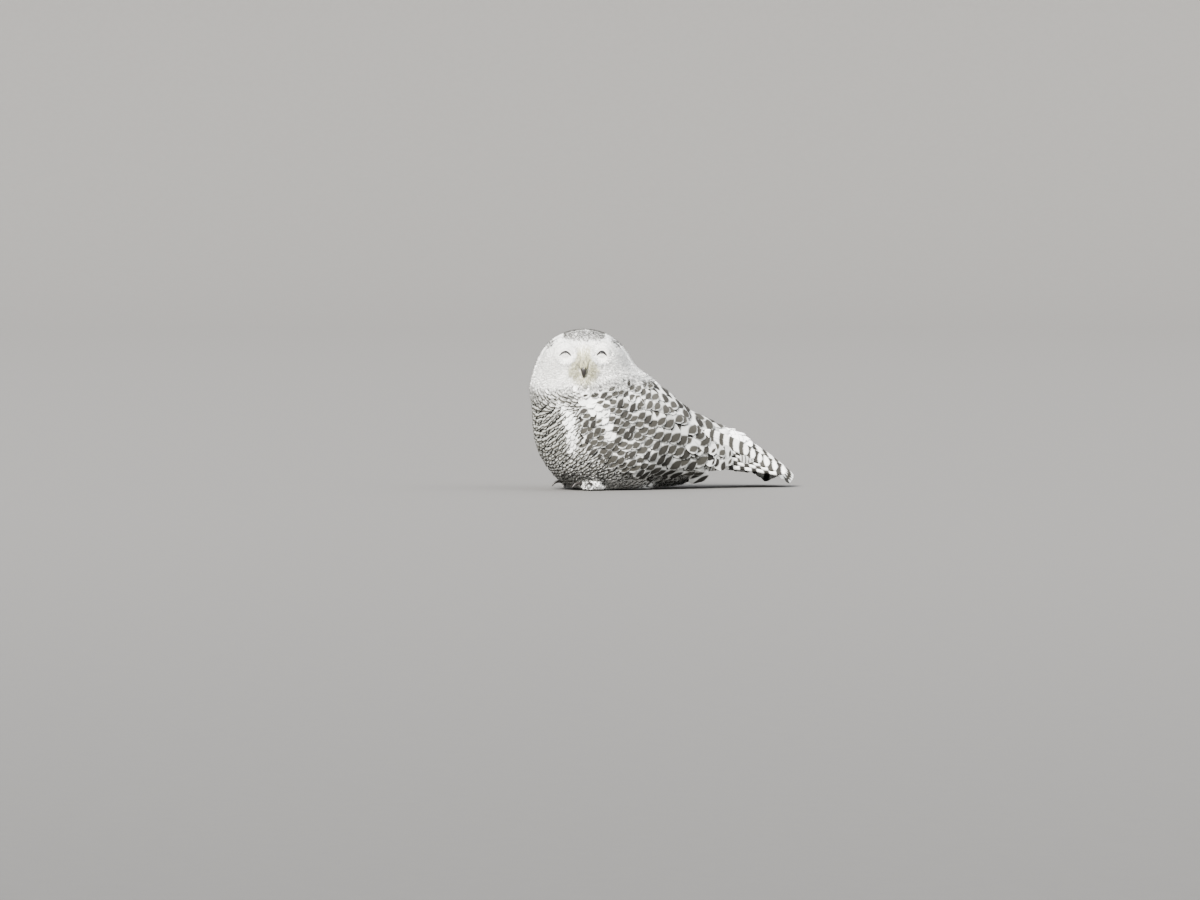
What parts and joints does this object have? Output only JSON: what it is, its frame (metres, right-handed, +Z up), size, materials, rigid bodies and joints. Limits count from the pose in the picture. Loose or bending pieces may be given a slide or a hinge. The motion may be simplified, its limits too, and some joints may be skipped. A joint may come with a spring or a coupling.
{
  "type": "snowy owl model",
  "caption": "Life-size still model of a barred snowy owl resting on its belly, head turned to its left, wings folded, eyes nearly closed.",
  "frame": {"origin": "on the ground under the middle of the model's box", "axes": "+Z up, -Y the way the body faces, +X the owl's left"},
  "size_m": [0.1884, 0.4796, 0.2723],
  "materials": {
    "plumage": "soft white down with fine grey-brown bars",
    "quills": "smooth pale vanes with dark grey-brown bars",
    "horn": "polished black horn",
    "eye": "wet, clear, yellow iris round a black pupil"
  },
  "bodies": {
    "root": {"head": "plumage", "neck": "plumage", "trunk": "plumage", "leg_left": "plumage", "leg_right": "plumage", "wing_left": "quills", "wing_right": "quills", "tail": "quills", "bill_upper": "horn", "bill_lower": "horn", "claw_left_1": "horn", "claw_left_2": "horn", "claw_left_3": "horn", "claw_left_4": "horn", "claw_right_1": "horn", "claw_right_2": "horn", "claw_right_3": "horn", "claw_right_4": "horn", "eye_left": "eye", "eye_right": "eye"}
  },
  "joints": []
}
